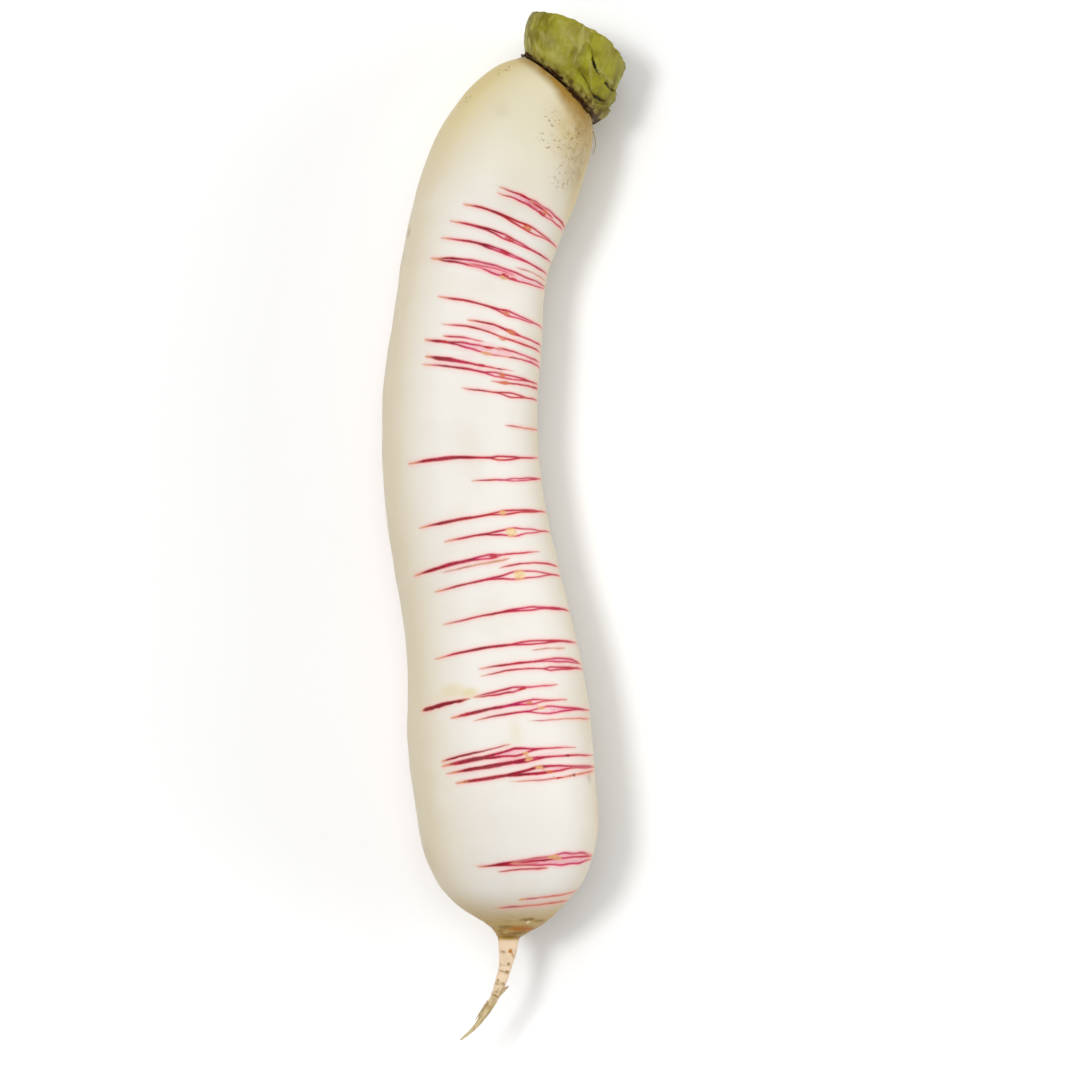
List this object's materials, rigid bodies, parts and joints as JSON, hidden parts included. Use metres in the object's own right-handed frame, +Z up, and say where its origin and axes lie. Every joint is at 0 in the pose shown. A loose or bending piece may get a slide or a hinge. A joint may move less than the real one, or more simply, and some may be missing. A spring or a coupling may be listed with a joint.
{
  "type": "daikon radish",
  "caption": "Long white daikon radish lying on its side, gently curved, with trimmed green leaf stalks, a thin curled tail root and rows of fine pink skin splits.",
  "frame": {"origin": "centre of the bounding box in plan, on the surface that the radish lies on", "axes": "+Y along the radish towards the leaf stalks, +X to the side that the crown bends to, +Z up"},
  "size_m": [0.085, 0.36, 0.0644],
  "materials": {
    "skin": "satin",
    "leaf_stalk": "satin",
    "heart_leaf": "satin",
    "old_leaf_base": "matte",
    "dry_scale": "matte",
    "rootlet": "matte"
  },
  "bodies": {
    "root": {"root": "skin", "dry_scale_back": "dry_scale", "dry_scale_back_right": "dry_scale", "dry_scale_front": "dry_scale", "dry_scale_front_left": "dry_scale", "dry_scale_left": "dry_scale", "heart_leaf_front": "heart_leaf", "heart_leaf_left": "heart_leaf", "heart_leaf_right": "heart_leaf", "inner_stalk_back": "leaf_stalk", "inner_stalk_front": "leaf_stalk", "inner_stalk_left": "leaf_stalk", "inner_stalk_right": "leaf_stalk", "leaf_stalk_back_left": "leaf_stalk", "leaf_stalk_back_right": "leaf_stalk", "leaf_stalk_front_left": "leaf_stalk", "leaf_stalk_front_right": "leaf_stalk", "old_leaf_base_back": "old_leaf_base", "old_leaf_base_front": "old_leaf_base", "old_leaf_base_front_right": "old_leaf_base", "old_leaf_base_left": "old_leaf_base", "old_leaf_base_right": "old_leaf_base", "shoulder_rootlet": "rootlet", "tail_rootlet_left": "rootlet", "tail_rootlet_right": "rootlet"}
  },
  "joints": []
}
